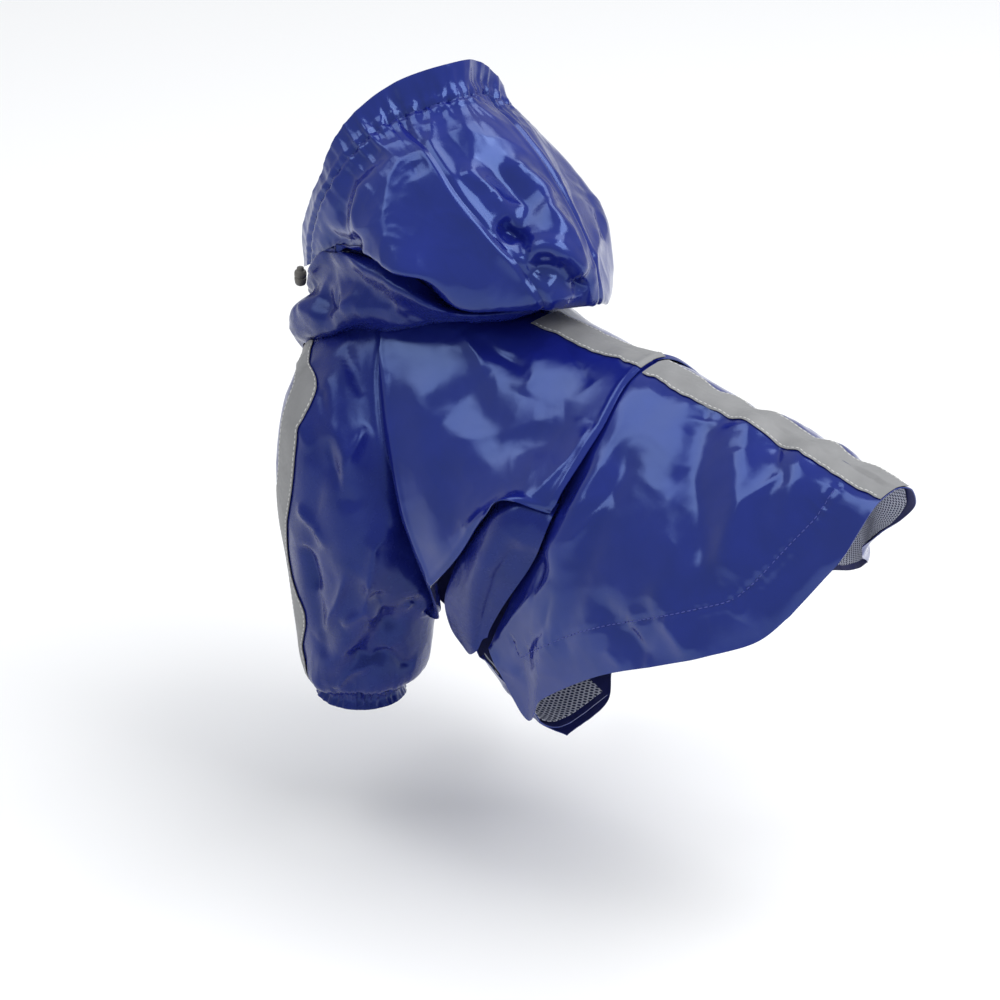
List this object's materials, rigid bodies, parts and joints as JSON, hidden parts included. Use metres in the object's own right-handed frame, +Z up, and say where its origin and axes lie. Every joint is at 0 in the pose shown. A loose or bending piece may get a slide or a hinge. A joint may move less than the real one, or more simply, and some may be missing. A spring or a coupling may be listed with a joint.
{
  "type": "dog raincoat",
  "caption": "Hooded dog raincoat with raglan sleeves, elastic cuffs, reflective tape and mesh lining, filled out as if worn.",
  "frame": {"origin": "inner face of the back at the withers, on the spine, where the wearer carries the coat", "axes": "+X to the dog's left, +Y along the back towards the tail, +Z up"},
  "size_m": [0.2126, 0.4125, 0.359],
  "materials": {
    "coated_navy_cloth": "glossy coated woven nylon",
    "reflective_tape": "satin retroreflective",
    "mesh_lining": "matt holed mesh",
    "cord_lock_plastic": "matt"
  },
  "bodies": {
    "root": {"back_yoke": "coated_navy_cloth", "back_skirt": "coated_navy_cloth", "side_left": "coated_navy_cloth", "side_right": "coated_navy_cloth", "chest_panel": "coated_navy_cloth", "belly_flap_left": "coated_navy_cloth", "belly_flap_right": "coated_navy_cloth", "sleeve_left": "coated_navy_cloth", "sleeve_right": "coated_navy_cloth", "cuff_left": "coated_navy_cloth", "cuff_right": "coated_navy_cloth", "hood_left": "coated_navy_cloth", "hood_centre": "coated_navy_cloth", "hood_right": "coated_navy_cloth", "hood_casing": "coated_navy_cloth", "neck_band": "coated_navy_cloth", "tape_spine_front": "reflective_tape", "tape_spine_rear": "reflective_tape", "tape_sleeve_left": "reflective_tape", "tape_sleeve_right": "reflective_tape", "skirt_lining": "mesh_lining", "belly_lining": "mesh_lining", "cord_lock": "cord_lock_plastic"}
  },
  "joints": []
}
